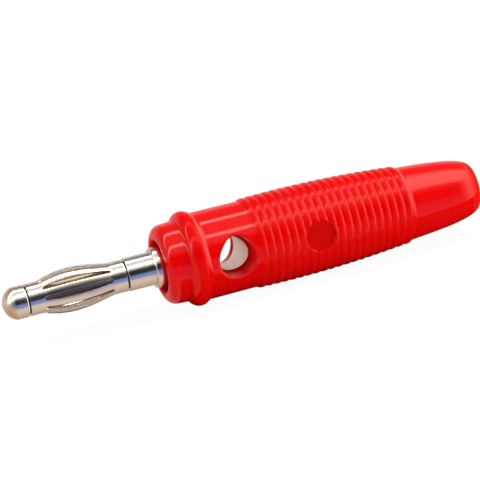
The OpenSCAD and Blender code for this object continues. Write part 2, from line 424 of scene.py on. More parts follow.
def zinc_steel(name):
    """Dull plated steel with smudges."""
    material, tree, shader = new_material(name)
    dull = place_group(tree, SMUDGES, {"Patches per metre": 900.0, "Contrast": 2.0})
    colour = mix_colour(tree, dull, STEEL, STEEL_DULL)
    rough = map_range(tree, dull, 0.0, 1.0, 0.25, 0.45)
    fill(tree, shader, {"Metallic": 1.0, "Base Color": colour, "Roughness": rough})
    return material


screw_steel = zinc_steel("screw steel")
print("screw's metal:", screw_steel.name)

# %% [markdown]
# ## Red vinyl
# The sleeve is one soft moulding in a strong red. Its mould was polished, so the plastic is glossy at the
# nose and around the cross hole, a little less so on the tail, duller on the grip and the bead, and matt in
# the hollows. The gloss is a clear coat whose weight follows the place. The plain specular level could not
# do that, because an export keeps only one value of it. A fine grain and faint smudges break up the
# reflections.

# %% Sleeve's vinyl
RED = (0.53, 0.0005, 0.0009, 1)
RED_DULL = (0.50, 0.0007, 0.0011, 1)
# RED_SPOT_PAINTED_SHADE is painted shade: the thumb spot's recessed floor is painted a darker red.
RED_SPOT_PAINTED_SHADE = (0.40, 0.0005, 0.0009, 1)
FULL_GLOSS = 0.46
sleeve_play = 0.05 * MM
recess_r = barrel_r + sleeve_play
flange_x = 3.83 * MM
grip_front = 10.9 * MM
grip_rear = 30.3 * MM
grip_fade = 0.3 * MM
spot_x = grip_front + 7.5 * MM
spot_r = 1.75 * MM
hole_x = cross_x + 0.08 * MM
hole_half_width = 2.2 * MM


def spot_mask(tree, place):
    """A mask for the floor of the round thumb spot, which is on the -Y side only."""
    near_side = math_node(tree, "LESS_THAN", parts_of(tree, place)["Y"], 0.0)
    return math_node(tree, "MULTIPLY", round_mask(tree, place, spot_x, spot_r), near_side)


def red_vinyl(name):
    """Saturated red plastic: glossy at the nose, duller on the grip and the bead, matt in its hollows, with
    painted shade darkening the thumb spot.
    """
    material, tree, shader = new_material(name)
    place = add_node(tree, "ShaderNodeTexCoord").outputs["Object"]
    x, y, z = parts_of(tree, place)
    past_smooth = map_range(tree, x, grip_front - grip_fade, grip_front + grip_fade, 0.0, 1.0)
    on_tail = map_range(tree, x, grip_rear - grip_fade, grip_rear + grip_fade, 0.0, 1.0)
    on_grip = math_node(tree, "SUBTRACT", past_smooth, on_tail)
    off_bead = math_node(tree, "ABSOLUTE", math_node(tree, "SUBTRACT", x, flange_x))
    on_bead = map_range(tree, off_bead, 0.55 * MM, 0.75 * MM, 1.0, 0.0)
    from_axis = length_of(tree, 0.0, y, z)
    in_mouth = map_range(tree, from_axis, recess_r + 0.2 * MM, recess_r + 0.6 * MM, 1.0, 0.0)
    in_hole = round_mask(tree, place, hole_x, hole_half_width)
    spot = spot_mask(tree, place)
    hollow = combine(tree, "MAXIMUM", in_mouth, in_hole, spot)

    dull = place_group(tree, SMUDGES, {"Patches per metre": 300.0, "Contrast": 2.0})
    skin_red = mix_colour(tree, dull, RED, RED_DULL)
    skin_rough = map_range(tree, dull, 0.0, 1.0, 0.06, 0.11)
    added_rough = strongest(tree, (on_grip, 0.16), (on_bead, 0.16), (on_tail, 0.10), (hollow, 0.60))
    unpolished = strongest(tree, (on_grip, 0.60), (on_bead, 0.85), (hollow, 1.0))
    # The thumb spot's darker red is painted shade for its recess.
    fill(tree, shader, {
        "Base Color": mix_colour(tree, spot, skin_red, RED_SPOT_PAINTED_SHADE),
        "Roughness": math_node(tree, "ADD", added_rough, skin_rough),
        "Coat Weight": map_range(tree, unpolished, 0.0, 1.0, FULL_GLOSS, 0.0),
        "Coat Roughness": 0.10,
        "Specular IOR Level": 0.03,
    })
    grain = place_group(tree, SMUDGES, {"Patches per metre": 9000.0, "Contrast": 1.0})
    bump(tree, shader, grain, 0.06, 0.01 * MM)
    return material


sleeve_red = red_vinyl("sleeve red")
print("sleeve's plastic:", sleeve_red.name)

# %% [markdown]
# ## Turned shapes
# The pin and the sleeve are bodies of revolution, so each starts as a half profile of (x, radius) points.
# The profile is drawn as straight runs and arcs, and a ring of points is spun from each of its stations.
# Spinning by hand keeps the rows and columns of the mesh known, which the cross hole needs later.


# %% Profile helpers
def ring_point(x, r, angle):
    """A point at a radius from the axis. Angle 0 faces -Y, and a quarter turn faces +Z."""
    return Vector((x, -r * math.cos(angle), r * math.sin(angle)))


def run(start, end, steps):
    """Points along a straight run, without its end."""
    return [
        (start[0] + (end[0] - start[0]) * i / steps, start[1] + (end[1] - start[1]) * i / steps)
        for i in range(steps)
    ]


def arc(centre, radius, start, end, steps):
    """Points along an arc, without its end. Angles are in degrees, from +X towards the outside."""
    turns = [math.radians(start + (end - start) * i / steps) for i in range(steps)]
    return [(centre[0] + radius * math.cos(t), centre[1] + radius * math.sin(t)) for t in turns]


def spin(mesh, profile, columns):
    """Rings of vertices spun from a profile. A point on the axis becomes one vertex."""
    turn = 2 * math.pi / columns
    rings = []
    for x, r in profile:
        if r < 1e-9:
            rings.append([mesh.verts.new((x, 0, 0))])
        else:
            rings.append([mesh.verts.new(ring_point(x, r, j * turn)) for j in range(columns)])
    return rings


def skin_rings(mesh, first, second):
    """Joins two neighbouring rings with faces."""
    columns = max(len(first), len(second))
    for j in range(columns):
        k = (j + 1) % columns
        if len(first) == 1:
            mesh.faces.new((first[0], second[j], second[k]))
        elif len(second) == 1:
            mesh.faces.new((first[j], second[0], first[k]))
        else:
            mesh.faces.new((first[j], second[j], second[k], first[k]))


def turned_mesh(profile, columns):
    """The mesh of a turned bar, whose profile starts and ends on the axis."""
    mesh = bmesh.new()
    rings = spin(mesh, profile, columns)
    for first, second in zip(rings, rings[1:]):
        skin_rings(mesh, first, second)
    return mesh


print("profile helpers ready")

# %% [markdown]
# ## Pieces and drilled holes
# A finished piece is one plain mesh at the origin. Holes are drilled with Boolean modifiers, as a drill
# press would do it, and the modifiers are then turned into mesh. A cut can leave doubled points, so these
# are merged.


# %% Piece helpers
def mesh_object(name, mesh):
    """Makes an object of a mesh under construction."""
    data = bpy.data.meshes.new(name)
    mesh.to_mesh(data)
    mesh.free()
    return add_object(name, data)


def make_piece(name, mesh, material):
    """Makes a smooth piece of one material, with its faces pointing outwards."""
    bmesh.ops.recalc_face_normals(mesh, faces=mesh.faces)
    piece = mesh_object(name, mesh)
    piece.data.shade_smooth()
    piece.data.materials.append(material)
    return piece


def freeze(piece):
    """Turns a piece and its modifiers into a plain mesh."""
    graph = bpy.context.evaluated_depsgraph_get()
    finished = bpy.data.meshes.new_from_object(piece.evaluated_get(graph), depsgraph=graph)
    finished.name = piece.name
    piece.modifiers.clear()
    old = piece.data
    piece.data = finished
    bpy.data.meshes.remove(old)


def drill(piece, cutters):
    """Cuts shapes out of a piece and merges the points that the cuts have doubled."""
    doubled = 0.0005 * MM
    for cutter in cutters:
        cut = piece.modifiers.new("cut", "BOOLEAN")
        cut.object = cutter
        cut.solver = "EXACT"
    freeze(piece)
    for cutter in cutters:
        bpy.data.objects.remove(cutter)
    mesh = bmesh.new()
    mesh.from_mesh(piece.data)
    bmesh.ops.remove_doubles(mesh, verts=mesh.verts, dist=doubled)
    mesh.to_mesh(piece.data)
    mesh.free()


def round_cutter(radius, start, end, columns=96):
    """A plain cylinder between two points, for drilling."""
    mesh = bmesh.new()
    along = end - start
    bmesh.ops.create_cone(
        mesh, cap_ends=True, segments=columns, radius1=radius, radius2=radius, depth=along.length
    )
    turn = along.to_track_quat("Z", "Y").to_matrix().to_4x4()
    mesh.transform(Matrix.Translation((start + end) / 2) @ turn)
    return mesh_object("cutter", mesh)


def crisp(piece, degrees):
    """Keeps edges sharper than an angle crisp, and smooths the rest."""
    piece.data.shade_smooth()
    piece.data.set_sharp_from_angle(angle=math.radians(degrees))


print("piece helpers ready")

# %% [markdown]
# ## The turned pin
# On the real plug the tip, the core under the spring, the shank, the stop ring and the barrel are one piece
# of turned brass. A lathe leaves small rounded edges, and these catch the light, so the profile has an arc
# at each corner. The cross hole, the wire hole and the screw's hole are then drilled.

# %% Profile of the pin
tip_r = 1.9 * MM
tip_dome = 1.35 * MM
shank_r = 1.95 * MM
ring_r = 2.4 * MM
ring_front = -0.9 * MM
barrel_front = 2.4 * MM
end_gap = 0.2 * MM
edge = 0.12 * MM
ring_edge = 0.35 * MM
tip_rear = spring_front - end_gap
shank_front = spring_rear + end_gap


def rounded_corner(corner, radius, front, steps=5):
    """A rounded outer corner of a turned bar: its front edge, or its rear edge."""
    x, r = corner
    if front:
        return arc((x + radius, r - radius), radius, 180, 90, steps) + [(x + radius, r)]
    return arc((x - radius, r - radius), radius, 90, 0, steps) + [(x, r - radius)]


def pin_profile():
    """Half profile of the turned pin, from the tip to the barrel's rear face."""
    dome_r = (tip_r ** 2 + tip_dome ** 2) / (2 * tip_dome)
    dome_turn = math.degrees(math.asin(tip_r / dome_r))
    points = [(tip_front, 0.0)]
    points += arc((tip_front + dome_r, 0), dome_r, 180, 180 - dome_turn, 24)[1:]
    points += run((tip_front + tip_dome, tip_r), (tip_rear - edge, tip_r), 4)
    points += rounded_corner((tip_rear, tip_r), edge, False)
    points += run((tip_rear, core_r), (shank_front, core_r), 12) + [(shank_front, core_r)]
    points += rounded_corner((shank_front, shank_r), edge, True)
    points += run((shank_front + edge, shank_r), (ring_front, shank_r), 6)[1:] + [(ring_front, shank_r)]
    points += rounded_corner((ring_front, ring_r), ring_edge, True, 8)
    points += run((ring_front + ring_edge, ring_r), (barrel_front, ring_r), 6)[1:] + [(barrel_front, ring_r)]
    points += rounded_corner((barrel_front, barrel_r), edge, True)
    points += run((barrel_front + edge, barrel_r), (barrel_end - edge, barrel_r), 8)[1:]
    points += rounded_corner((barrel_end, barrel_r), edge, False)
    return points + [(barrel_end, 0.0)]


print("pin profile:", len(pin_profile()), "points")

# %% Make the pin
screw_play = 0.05 * MM
screw_x = (screw_low.x + screw_high.x) / 2
screw_r = (screw_high.x - screw_low.x) / 2


def make_pin():
    """The turned pin with its three holes."""
    pin = make_piece("turned_pin", turned_mesh(pin_profile(), 144), pin_nickel)
    across = Vector((0, 2 * barrel_r, 0))
    cross = Vector((cross_x, 0, 0))
    wire_end = Vector((barrel_end - wire_depth, 0, wire_z))
    screw_foot = Vector((screw_x, 0, wire_z))
    drill(pin, [
        round_cutter(cross_r, cross - across, cross + across),
        round_cutter(wire_r, wire_end, wire_end + Vector((2 * wire_depth, 0, 0)), 64),
        round_cutter(screw_r + screw_play, screw_foot, screw_foot + Vector((0, 0, 2 * barrel_r)), 64),
    ])
    crisp(pin, 28)
    return pin


pin = make_pin()
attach(pin, "contact")
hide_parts("contact_body")
print("pin:", len(pin.data.polygons), "faces")

# %% [markdown]
# ## The lantern spring's sheet
# The spring is a rolled sheet: two closed collars with ten bowed leaves between them, and an open seam in
# line with one slot. The leaves repeat around the axis, so only one tenth of the sheet's outer surface is
# drawn. Each leaf keeps its width while the bow takes it away from the axis, so the slots widen towards the
# bow's peak, a little in front of the middle. They end in round corners, as a punch leaves them.

# %% Sizes of the sheet
collar_r = 1.88 * MM
bulge_r = spring_high.z
bulge_share = 0.44
bend_softness = 0.16 * MM
peak_spread = 0.35
leaf_count = 10
leaf_width = 0.8 * MM
slot_inset = 0.05 * MM
leaf_step = 2 * math.pi / leaf_count
leaf_front = spring_front + collar_length
leaf_rear = spring_rear - collar_length


def bowed_radius(x):
    """Outer radius of the sheet: flat at the collars and bowed between them."""
    share = min(max((x - leaf_front) / (leaf_rear - leaf_front), 0.0), 1.0)
    power = math.log(0.5) / math.log(bulge_share)
    return collar_r + (bulge_r - collar_r) * math.sin(math.pi * share ** power)


def sheet_radius(x):
    """The bowed radius with its bends at the collars softened."""
    offsets = [-1.5, -1.0, -0.5, 0.0, 0.5, 1.0, 1.5]
    from_middle = x - (leaf_front + leaf_rear) / 2
    near_peak = math.exp(-(from_middle / (peak_spread * (leaf_rear - leaf_front))) ** 4)
    mean = sum(bowed_radius(x + offset * bend_softness) for offset in offsets) / len(offsets)
    return near_peak * bowed_radius(x) + (1 - near_peak) * mean


def leaf_half_angle(r):
    """Half the angle that a leaf of constant width takes up at a radius."""
    return math.asin(leaf_width / 2 / r)


slot_end_r = collar_r * math.sin(leaf_step / 2 - leaf_half_angle(collar_r))
slot_front = leaf_front + slot_end_r + slot_inset
slot_rear = leaf_rear - slot_end_r - slot_inset
print("slots %.1f mm long" % ((slot_rear - slot_front + 2 * slot_end_r) / MM))


# %% Draw one tenth of the sheet
def sheet_sector():
    """One tenth of the sheet's outer surface, with a mark that says how far each point moves at the seam."""
    collar_rows, leaf_rows, side_columns, leaf_columns = 12, 56, 5, 10
    mesh = bmesh.new()
    pull = mesh.verts.layers.float.new("seam pull")
    edge_angle = leaf_half_angle(collar_r)
    reach = leaf_step / 2 - edge_angle
    sides = [i / side_columns for i in range(side_columns, 0, -1)]
    leaf = [("leaf", i / leaf_columns * 2 - 1) for i in range(leaf_columns + 1)]
    whole = [("side", -place) for place in sides] + leaf + [("side", place) for place in sides[::-1]]
    inner = slice(side_columns, side_columns + leaf_columns + 1)

    def point(x, kind, place):
        r = sheet_radius(x)
        if kind == "leaf":
            angle = place * leaf_half_angle(r)
        else:
            angle = math.copysign(edge_angle + abs(place) * reach, place)
        vertex = mesh.verts.new(ring_point(x, r, angle))
        vertex[pull] = place if kind == "side" else 0.0
        return vertex

    def collar_row(end, slot_end, share):
        row = []
        for kind, place in whole:
            cut = slot_end_r * math.sqrt(max(0.0, 1 - (1 - abs(place)) ** 2)) if kind == "side" else 0.0
            stop = slot_end + math.copysign(cut, end - slot_end)
            row.append(point(end + (stop - end) * share, kind, place))
        return row

    def leaf_row(share):
        return [point(slot_front + (slot_rear - slot_front) * share, kind, place) for kind, place in leaf]

    def join(rows):
        for lower, upper in zip(rows, rows[1:]):
            for a, b, c, d in zip(lower, lower[1:], upper[1:], upper):
                mesh.faces.new((a, b, c, d))

    front = [collar_row(spring_front, slot_front, i / collar_rows) for i in range(collar_rows + 1)]
    rear = [collar_row(spring_rear, slot_rear, 1 - i / collar_rows) for i in range(collar_rows + 1)]
    middle = [leaf_row(i / leaf_rows) for i in range(1, leaf_rows)]
    join(front)
    join(rear)
    join([front[-1][inner]] + middle + [rear[0][inner]])
    return mesh


print("one tenth of the sheet spans %.1f degrees" % math.degrees(leaf_step))

# %% [markdown]
# ## The ring of leaves
# A geometry tree turns copies of the sector around X, opens the seam between two of them and welds the
# rest. An Array modifier with an offset object could turn the copies too, but it could not open one seam. A
# Solidify modifier then gives the sheet its thickness, and a small bevel rounds its stamped edges.


# %% Leaf ring tree
def run_tree(piece, tree, settings):
    """Adds a geometry tree to a piece, with its inputs set by the identifiers of their names."""
    modifier = piece.modifiers.new(tree.name, "NODES")
    modifier.node_group = tree
    for item in tree.interface.items_tree:
        if item.name in settings:
            modifier[item.identifier] = settings[item.name]


def turned_leaves(tree, given):
    """Copies of the sector around X, each marked with its number."""
    points = output_of(add_node(tree, "GeometryNodePoints", given["Leaves"]))
    number = output_of(tree.nodes.new("GeometryNodeInputIndex"))
    step = math_node(tree, "DIVIDE", -2 * math.pi, given["Leaves"])
    turn = math_node(tree, "MULTIPLY", number, step)
    turn = math_node(tree, "SUBTRACT", turn, given["Turn of the first leaf"])
    placed = add_node(tree, "GeometryNodeInstanceOnPoints")
    rotation = vector_of(tree, turn, 0.0, 0.0)
    fill(tree, placed, {"Points": points, "Instance": given["Sector"], "Rotation": rotation})
    marked = add_node(tree, "GeometryNodeStoreNamedAttribute", data_type="INT", domain="INSTANCE")
    fill(tree, marked, {"Geometry": output_of(placed), "Name": "leaf number", "Value": number})
    return output_of(add_node(tree, "GeometryNodeRealizeInstances", output_of(marked)))


def seam_shift(tree, given):
    """How far a point moves around the axis to open the seam after one leaf."""
    leaf = output_of(add_node(tree, "GeometryNodeInputNamedAttribute", "leaf number", data_type="INT"))
    pull = output_of(add_node(tree, "GeometryNodeInputNamedAttribute", "seam pull", data_type="FLOAT"))
    next_leaf = math_node(tree, "ADD", given["Leaf before the seam"], 1.0)
    before = math_node(tree, "COMPARE", leaf, given["Leaf before the seam"], 0.1)
    after = math_node(tree, "COMPARE", leaf, next_leaf, 0.1)
    pulled_back = math_node(tree, "MULTIPLY", before, math_node(tree, "MAXIMUM", pull, 0.0))
    pulled_on = math_node(tree, "MULTIPLY", after, math_node(tree, "MINIMUM", pull, 0.0))
    half_gap = math_node(tree, "MULTIPLY", given["Seam gap"], 0.5)
    amount = math_node(tree, "MULTIPLY", math_node(tree, "ADD", pulled_back, pulled_on), half_gap)
    place = output_of(tree.nodes.new("GeometryNodeInputPosition"))
    around = vector_node(tree, "NORMALIZE", vector_node(tree, "CROSS_PRODUCT", place, (-1.0, 0.0, 0.0)))
    return vector_node(tree, "SCALE", around, amount)


def leaf_ring_tree():
    """Copies a sector around X, opens the seam after one leaf and welds the rest."""
    weld = 0.002 * MM
    tree, given, result = new_group("Leaf ring", "GeometryNodeTree", {
        "Sector": "Geometry",
        "Leaves": "Int",
        "Turn of the first leaf": "Float",
        "Leaf before the seam": "Int",
        "Seam gap": "Float",
        "Material": "Material",
    }, {"Spring": "Geometry"})
    opened = add_node(tree, "GeometryNodeSetPosition", turned_leaves(tree, given))
    fill(tree, opened, {"Offset": seam_shift(tree, given)})
    welded = add_node(tree, "GeometryNodeMergeByDistance")
    fill(tree, welded, {"Geometry": output_of(opened), "Distance": weld})
    smooth = output_of(add_node(tree, "GeometryNodeSetShadeSmooth", output_of(welded)))
    finished = add_node(tree, "GeometryNodeSetMaterial", smooth)
    fill(tree, finished, {"Material": given["Material"]})
    fill(tree, result, {"Spring": output_of(finished)})
    return tree


LEAF_RING = leaf_ring_tree()
print("tree:", LEAF_RING.name, "with", len(LEAF_RING.nodes), "nodes")

# %% Make the spring
sheet = 0.25 * MM
sheet_edge = 0.05 * MM
seam_gap = 0.16 * MM
leaf_turn = math.radians(22)


def make_spring():
    """The rolled spring, as one plain mesh."""
    spring = make_piece("rolled_spring", sheet_sector(), spring_nickel)
    run_tree(spring, LEAF_RING, {
        "Leaves": leaf_count,
        "Turn of the first leaf": leaf_turn,
        "Leaf before the seam": 1,
        "Seam gap": seam_gap,
        "Material": spring_nickel,
    })
    wall = spring.modifiers.new("sheet", "SOLIDIFY")
    wall.thickness = sheet
    wall.offset = -1
    wall.use_even_offset = True
    stamped = spring.modifiers.new("stamped edges", "BEVEL")
    stamped.width = sheet_edge
    stamped.segments = 3
    stamped.limit_method = "ANGLE"
    stamped.angle_limit = math.radians(50)
    freeze(spring)
    crisp(spring, 60)
    return spring


spring = make_spring()
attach(spring, "spring")
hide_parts("lantern_spring")
print("spring:", len(spring.data.polygons), "faces")

# %% [markdown]
# ## The clamp screw
# Under the sleeve a short slotted set screw holds the wire. It shows only when the sleeve is pulled back.
# Its profile is spun about X as the pin's is, with a bevel at each end, then stood upright, and the driver
# slot is cut out with a box.

# %% Make the screw
slot_width = 0.45 * MM
slot_depth = 0.7 * MM
screw_bevel = 0.15 * MM


def make_screw():
    """The slotted set screw."""
    profile = [
        (screw_low.z, 0.0),
        (screw_low.z, screw_r - 2 * screw_bevel),
        (screw_low.z + 2 * screw_bevel, screw_r),
        (screw_high.z - screw_bevel, screw_r),
        (screw_high.z, screw_r - screw_bevel),
        (screw_high.z, 0.0),
    ]
    mesh = turned_mesh(profile, 64)
    mesh.transform(Matrix.Translation((screw_x, 0, 0)) @ Matrix.Rotation(-math.pi / 2, 4, "Y"))
    screw = make_piece("set_screw", mesh, screw_steel)
    box = bmesh.new()
    bmesh.ops.create_cube(box, size=1.0)
    size = Matrix.Diagonal((slot_width, 4 * screw_r, 2 * slot_depth, 1))
    box.transform(Matrix.Translation((screw_x, 0, screw_high.z)) @ size)
    drill(screw, [mesh_object("slot", box)])
    crisp(screw, 30)
    return screw


screw = make_screw()
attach(screw, "screw")
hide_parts("clamp_screw")
print("screw:", len(screw.data.polygons), "faces")

# %% [markdown]
# ## The sleeve's profile
# The sleeve is one moulding. Its blank is spun from a closed profile: the recess for the barrel, the
# rounded nose, the flange bead with a fillet on each side, the smooth section, the grip's core, the tail
# and the cable hole. A mould has no sharp inner corners, and the two fillets catch a line of light as on
# the real sleeve. The profile also notes the rows where the cross hole will be left open, and those that
# belong to the grip.

# %% Profile of the sleeve
recess_end = barrel_end + 0.1 * MM
mouth_round = 0.55 * MM
nose_r = 4.7 * MM
nose_rear_r = 4.77 * MM
nose_round = 1.2 * MM
flange_round = 1.25 * MM
foot_fillet = 0.5 * MM
heel_fillet = 0.8 * MM
smooth_front_r = 5.17 * MM
smooth_rear_r = 5.12 * MM
rib_count = 20
rib_pitch = 0.97 * MM
rib_depth = 0.16 * MM
rows_per_rib = 10
grip_front_r = 5.32 * MM
grip_swell_r = 5.62 * MM
grip_rear_r = 4.63 * MM
tail_r = 4.39 * MM
tail_step = 0.1 * MM
tail_narrowing = 0.92
tail_fullness = 0.32 * MM
lip_r = 2.35 * MM
lip_share = 0.8
window_x = 2.6 * MM
window_rows = 36
recess_window_rows = 12


def curve(points, t):
    """A point on a smooth curve that its control points draw."""
    while len(points) > 1:
        points = [tuple(p + (q - p) * t for p, q in zip(a, b)) for a, b in zip(points, points[1:])]
    return points[0]


def grip_radius(x):
    """Radius over the rib crests."""
    t = (x - grip_front) / (grip_rear - grip_front)
    return curve([(grip_front_r,), (grip_swell_r,), (grip_rear_r,)], t)[0]


def smooth_radius(x):
    """Radius of the smooth section, which narrows a little towards the grip."""
    t = (x - flange_x) / (grip_front - flange_x)
    return smooth_front_r + (smooth_rear_r - smooth_front_r) * t


def bead_points(nose_end, smooth_start):
    """The nose's flank, the flange bead with its fillets, and the smooth section up to the window."""
    bead_r = flange_r - flange_round
    heel_r = smooth_radius(flange_x + flange_round)
    foot_reach, heel_reach = flange_round + foot_fillet, flange_round + heel_fillet
    foot_turn = math.asin((nose_rear_r + foot_fillet - bead_r) / foot_reach)
    heel_turn = math.asin((heel_r + heel_fillet - bead_r) / heel_reach)
    foot_x = flange_x - foot_reach * math.cos(foot_turn)
    heel_x = flange_x + heel_reach * math.cos(heel_turn)
    foot, heel = math.degrees(foot_turn), math.degrees(heel_turn)
    points = run(nose_end, (foot_x, nose_rear_r), 8)
    points += arc((foot_x, nose_rear_r + foot_fillet), foot_fillet, 270, 360 - foot, 10)
    points += arc((flange_x, bead_r), flange_round, 180 - foot, heel, 28)
    points += arc((heel_x, heel_r + heel_fillet), heel_fillet, 180 + heel, 270, 10)
    return points + run((heel_x, heel_r), smooth_start, 5)


def tail_points():
    """The tail from the grip's end over the lip and back along the cable hole."""
    shoulder, lip = (grip_rear + tail_step, tail_r), (tail_end, lip_r)
    flank = (grip_rear + (tail_end - grip_rear) / 2, tail_r * tail_narrowing)
    corner = (tail_end, (tail_r + lip_r) / 2 + tail_fullness)
    points = [curve([shoulder, flank, corner, lip], i / 40) for i in range(41)]
    lip_round = (lip_r - cable_r) * lip_share
    points += arc((tail_end - lip_round, cable_r + lip_round), lip_round, 0, -90, 6)
    return points + run((tail_end - lip_round, cable_r), (recess_end, cable_r), 16) + [(recess_end, cable_r)]


def sleeve_profile():
    """The closed half profile, with the first and last rows of the two windows and of the grip."""
    low, high = hole_x - window_x, hole_x + window_x
    rows = {}
    points = run((recess_end, recess_r), (high, recess_r), 8)
    rows["recess"] = (len(points), len(points) + recess_window_rows)
    points += run((high, recess_r), (low, recess_r), recess_window_rows)
    points += run((low, recess_r), (mouth_round, recess_r), 6)
    points += arc((mouth_round, recess_r + mouth_round), mouth_round, 270, 180, 8)
    points += run((0, recess_r + mouth_round), (0, nose_r - nose_round), 2)
    points += arc((nose_round, nose_r - nose_round), nose_round, 180, 90, 16)
    points += bead_points((nose_round, nose_r), (low, smooth_radius(low)))
    rows["smooth"] = (len(points), len(points) + window_rows)
    points += run((low, smooth_radius(low)), (high, smooth_radius(high)), window_rows)
    points += [(high, smooth_radius(high))]
    rows["grip"] = (len(points), len(points) + rib_count * rows_per_rib)
    for i in range(rib_count * rows_per_rib + 1):
        x = grip_front + i * rib_pitch / rows_per_rib
        points.append((x, grip_radius(x) - rib_depth))
    return points + tail_points(), rows


profile, profile_rows = sleeve_profile()
print("sleeve profile:", len(profile), "rows;", profile_rows)

# %% [markdown]
# ## The cross hole
# A second plug goes into the hole, so its mouth is flared and its rim is rounded, with a slight dent on the
# near side. Two windows stay open in the spun mesh on each side, and rings are drawn into them: first over
# the sleeve's round surface, then over the rim, down the flared wall and on to the recess. A boolean cut
# would be quicker, but it would leave long thin faces around the rim that shade badly.

# %% Rings of the cross hole
columns = 216
window_columns = 20
recess_window_columns = 34
hole_half_height = 2.45 * MM
hole_dent = 0.3 * MM
hole_dent_turn = math.radians(135)
hole_dent_spread = math.radians(38)
hole_inner_r = cross_r + 0.1 * MM
hole_rim = 0.28 * MM
skin_steps, rim_steps, wall_steps = 6, 7, 10


def window_edge(rings, rows, middle_column, half_columns):
    """The vertices around a window, in order."""
    first, last = rows
    left, right = middle_column - half_columns, middle_column + half_columns
    edge_places = [(i, left) for i in range(first, last)]
    edge_places += [(last, j) for j in range(left, right)]
    edge_places += [(i, right) for i in range(last, first, -1)]
    edge_places += [(first, j) for j in range(right, left, -1)]
    return [rings[i][j % columns] for i, j in edge_places]


def in_window(row, column, rows, middle_column, half_columns):
    """Says whether a face of the grid lies in a window."""
    offset = (column - middle_column + columns // 2) % columns - columns // 2
    return rows[0] <= row < rows[1] and -half_columns <= offset < half_columns


def hole_rings(mesh, edge_vertices, side):
    """Rings from a window's edge over the rim and down the flared wall. Side is -1 at -Y and 1 at +Y."""
    directions = [math.atan2(v.co.z, v.co.x - hole_x) for v in edge_vertices]

    def oval(turn, more):
        off = (turn - hole_dent_turn + math.pi) % (2 * math.pi) - math.pi
        dent = hole_dent * math.exp(-(off / hole_dent_spread) ** 2) if side < 0 else 0.0
        x = hole_x + (hole_half_width + more - dent) * math.cos(turn)
        return x, (hole_half_height + more - dent) * math.sin(turn)

    def on_skin(x, z, depth):
        y = math.sqrt(smooth_radius(x) ** 2 - z * z) - depth
        return mesh.verts.new((x, side * y, z))

    def skin_point(vertex, turn, share):
        rim_x, rim_z = oval(turn, hole_rim)
        x = vertex.co.x + (rim_x - vertex.co.x) * share
        return on_skin(x, vertex.co.z + (rim_z - vertex.co.z) * share, 0.0)

    def wall_point(start, turn, share):
        x, z = hole_x + hole_inner_r * math.cos(turn), hole_inner_r * math.sin(turn)
        end = Vector((x, side * math.sqrt(recess_r ** 2 - z * z), z))
        return mesh.verts.new(start.lerp(end, share))

    rings = [edge_vertices]
    for i in range(1, skin_steps + 1):
        share = i / skin_steps
        rings.append([skin_point(vertex, turn, share) for vertex, turn in zip(edge_vertices, directions)])
    for i in range(1, rim_steps + 1):
        bend = math.radians(90 * i / rim_steps)
        more, depth = hole_rim * (1 - math.sin(bend)), hole_rim * (1 - math.cos(bend))
        rings.append([on_skin(*oval(turn, more), depth) for turn in directions])
    rim = [vertex.co.copy() for vertex in rings[-1]]
    for i in range(1, wall_steps + 1):
        rings.append([wall_point(start, turn, i / wall_steps) for start, turn in zip(rim, directions)])
    return rings


print("cross hole %.1f by %.1f mm" % (2 * hole_half_width / MM, 2 * hole_half_height / MM))


# %% Spin the blank
def make_sleeve_blank():
    """The sleeve without its ribs, as one closed mesh with a mark on the grip's skin."""
    mesh = bmesh.new()
    skin = mesh.verts.layers.float.new("grip skin")
    rings = spin(mesh, profile, columns)
    for ring in rings[profile_rows["grip"][0]:profile_rows["grip"][1] + 1]:
        for vertex in ring:
            vertex[skin] = 1.0
    sides = ((-1, 0), (1, columns // 2))
    outer_windows = [(profile_rows["smooth"], middle, window_columns) for _, middle in sides]
    inner_windows = [(profile_rows["recess"], middle, recess_window_columns) for _, middle in sides]
    for i in range(len(rings)):
        first, second = rings[i], rings[(i + 1) % len(rings)]
        for j in range(columns):
            if not any(in_window(i, j, *window) for window in outer_windows + inner_windows):
                k = (j + 1) % columns
                mesh.faces.new((first[j], second[j], second[k], first[k]))
    for (side, _), outer_window, inner_window in zip(sides, outer_windows, inner_windows):
        hole = hole_rings(mesh, window_edge(rings, *outer_window), side)
        for outer, inner in zip(hole, hole[1:]):
            skin_rings(mesh, outer, inner)
        loops = []
        for loop in (hole[-1], window_edge(rings, *inner_window)):
            loops += [mesh.edges.get(ends) for ends in zip(loop, loop[1:] + loop[:1])]
        bmesh.ops.bridge_loops(mesh, edges=loops)
    loose = [vertex for vertex in mesh.verts if not vertex.link_faces]
    bmesh.ops.delete(mesh, geom=loose, context="VERTS")
    return mesh


blank = make_sleeve_blank()
print("sleeve blank:", len(blank.faces), "faces")

# %% [markdown]
# ## The ribs and the thumb spot
# The grip has a row of round-crested ribs that follow one rule along the axis, and a flat round spot breaks
# them on one side. A geometry tree lifts the marked skin by that rule, and presses the spot flat. The same
# ribs could be drawn into the profile, but then the spot would need a second cut.


